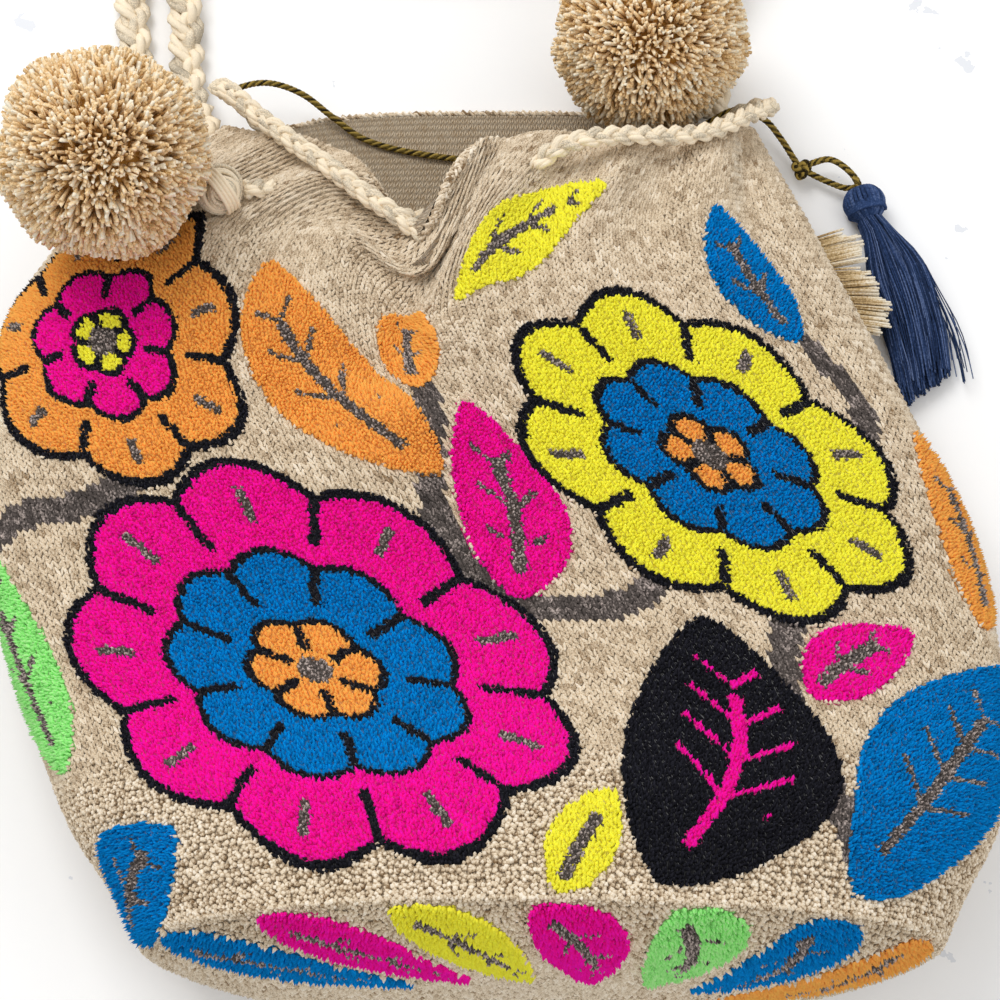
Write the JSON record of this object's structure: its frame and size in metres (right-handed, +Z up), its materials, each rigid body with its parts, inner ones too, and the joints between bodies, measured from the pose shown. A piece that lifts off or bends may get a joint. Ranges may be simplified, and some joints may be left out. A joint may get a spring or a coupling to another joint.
{
  "type": "tote bag",
  "caption": "Crocheted drawstring tote bag lying on its back, with raised floral pile embroidery, pompoms, a plaited shoulder strap and a tassel.",
  "frame": {"origin": "on the flat back, at its base end, about the middle of its width", "axes": "+Y from the base towards the mouth, +Z up out of the front, +X to the right seen from the base end"},
  "size_m": [0.3244, 0.467, 0.1111],
  "materials": {
    "crochet": "crocheted heather beige cotton",
    "drawstring_yarn": "plaited cream cotton",
    "pile_black": "short black pile",
    "pile_blue": "short blue pile",
    "pile_green": "short green pile",
    "pile_magenta": "short magenta pile",
    "pile_orange": "short orange pile",
    "pile_yellow": "short yellow pile",
    "pompom_yarn": "cut cream and tan yarn",
    "strap_yarn": "flat plaited cream cotton",
    "tassel_thread": "navy threads",
    "tie_yarn": "twisted gold and black cord",
    "tuft_yarn": "cut beige yarn",
    "wound_yarn": "wound cream yarn"
  },
  "bodies": {
    "root": {"bag_body": "crochet", "drawstring": "drawstring_yarn", "pompom_left": "pompom_yarn", "pompom_right": "pompom_yarn", "pompom_knot_left": "wound_yarn", "pompom_knot_right": "wound_yarn", "strap_plait_1": "strap_yarn", "strap_plait_2": "strap_yarn", "tie_cord": "tie_yarn", "tie_knot": "tie_yarn", "tassel_loop": "tie_yarn", "tassel_head": "tassel_thread", "tassel_skirt": "tassel_thread", "strap_end_tuft": "tuft_yarn", "flower_low_petals": "pile_magenta", "flower_low_disc": "pile_blue", "flower_low_heart": "pile_orange", "flower_right_petals": "pile_yellow", "flower_right_disc": "pile_blue", "flower_right_heart": "pile_orange", "flower_left_petals": "pile_orange", "flower_left_disc": "pile_magenta", "flower_left_heart": "pile_yellow", "black_leaf": "pile_black", "leaf_blue_right": "pile_blue", "leaf_orange_middle": "pile_orange", "leaf_magenta_middle": "pile_magenta", "leaf_yellow_top": "pile_yellow", "leaf_green_left": "pile_green", "leaf_magenta_right": "pile_magenta", "leaf_orange_right": "pile_orange", "leaf_yellow_low": "pile_yellow", "leaf_blue_top": "pile_blue", "leaf_blue_left": "pile_blue", "leaf_orange_top": "pile_orange", "base_leaf_1": "pile_blue", "base_leaf_2": "pile_magenta", "base_leaf_3": "pile_yellow", "base_leaf_4": "pile_magenta", "base_leaf_5": "pile_green", "base_leaf_6": "pile_blue", "base_leaf_7": "pile_orange"}
  },
  "joints": []
}
